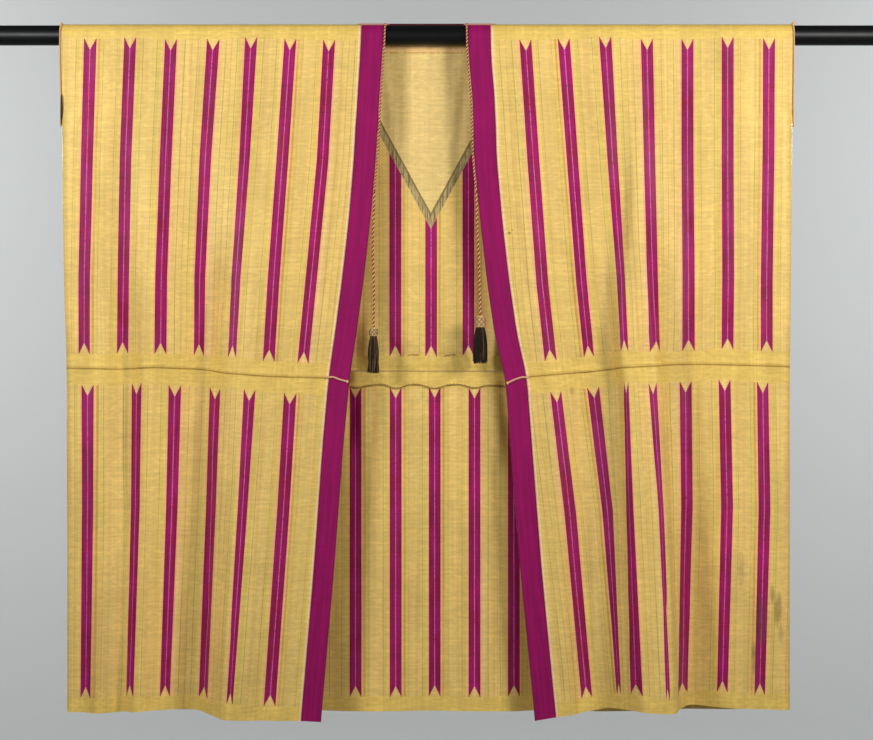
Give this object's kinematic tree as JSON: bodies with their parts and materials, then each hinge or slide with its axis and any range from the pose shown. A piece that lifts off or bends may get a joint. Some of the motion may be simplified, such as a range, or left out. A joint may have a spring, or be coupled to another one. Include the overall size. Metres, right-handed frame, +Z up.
{
  "type": "aba cloak on a display rod",
  "caption": "Wide sleeveless striped silk cloak with arm slits, plain silk front bands and tasselled ties, hung by its shoulders on a round rod.",
  "frame": {"origin": "on the rod's axis, midway along the rod, where it carries the cloak's shoulders", "axes": "+X along the rod to the viewer's right, +Y towards the back of the cloak, +Z up; the fronts face -Y"},
  "size_m": [1.65, 0.1309, 1.2524],
  "materials": {
    "silk_striped": "woven silk with a soft sheen",
    "silk_magenta": "plain ribbed silk",
    "cord_twist": "twisted red and cream thread",
    "cord_cream": "twisted cream thread",
    "tassel_thread": "loose dark thread",
    "rod_black": "satin black"
  },
  "bodies": {
    "root": {"rod": "rod_black", "front_left_upper": "silk_striped", "front_left_lower": "silk_striped", "front_right_upper": "silk_striped", "front_right_lower": "silk_striped", "back_upper": "silk_striped", "back_lower": "silk_striped", "allowance_up": "silk_striped", "allowance_down": "silk_striped", "band_left": "silk_magenta", "band_right": "silk_magenta", "neck_band": "silk_magenta", "neck_cord": "cord_twist", "tie_cord_left": "cord_twist", "tie_cord_right": "cord_twist", "tassel_left": "tassel_thread", "tassel_right": "tassel_thread", "waist_cord_left": "cord_cream", "waist_cord_right": "cord_cream", "arm_cord_left": "cord_cream", "arm_cord_right": "cord_cream"}
  },
  "joints": []
}
